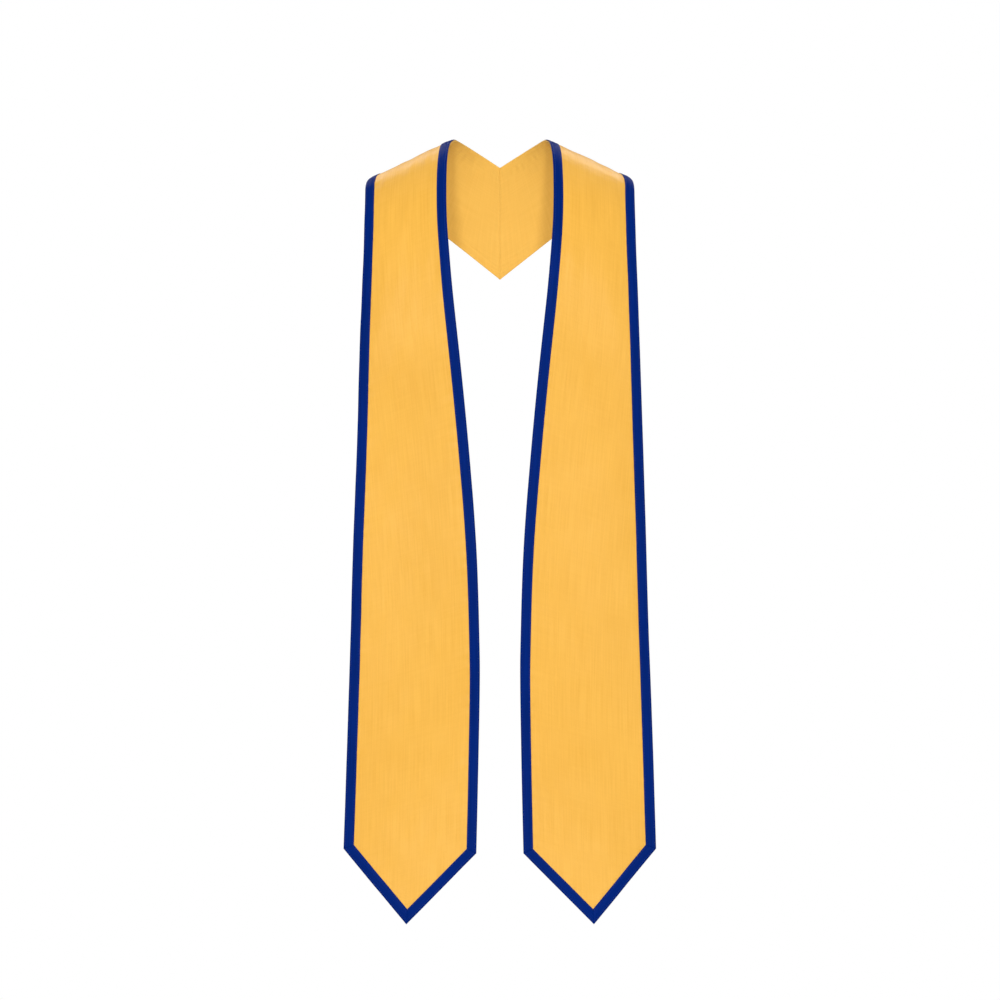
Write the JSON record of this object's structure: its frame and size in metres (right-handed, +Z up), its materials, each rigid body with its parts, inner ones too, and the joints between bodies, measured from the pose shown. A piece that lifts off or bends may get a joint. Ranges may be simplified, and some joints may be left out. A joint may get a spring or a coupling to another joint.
{
  "type": "graduation stole",
  "caption": "Satin academic stole worn over the shoulders, mitred to a V behind the neck, with long panels, pointed ends and a contrasting edge trim.",
  "frame": {"origin": "middle of the neck opening, level with the top of the shoulders", "axes": "+X to the wearer's left, +Y to the wearer's back, +Z up; the stole is stored as it hangs when worn"},
  "size_m": [0.318, 0.1928, 0.7979],
  "materials": {
    "gold_satin": "satin weave with a soft sheen",
    "gold_lining": "plain weave, duller than the face",
    "navy_trim": "satin band, topstitched along both edges"
  },
  "bodies": {
    "root": {"left_panel": "gold_satin", "right_panel": "gold_satin", "left_lining": "gold_lining", "right_lining": "gold_lining", "left_neck_trim": "navy_trim", "right_neck_trim": "navy_trim", "left_outer_trim": "navy_trim", "right_outer_trim": "navy_trim", "left_point_trim": "navy_trim", "right_point_trim": "navy_trim"}
  },
  "joints": []
}
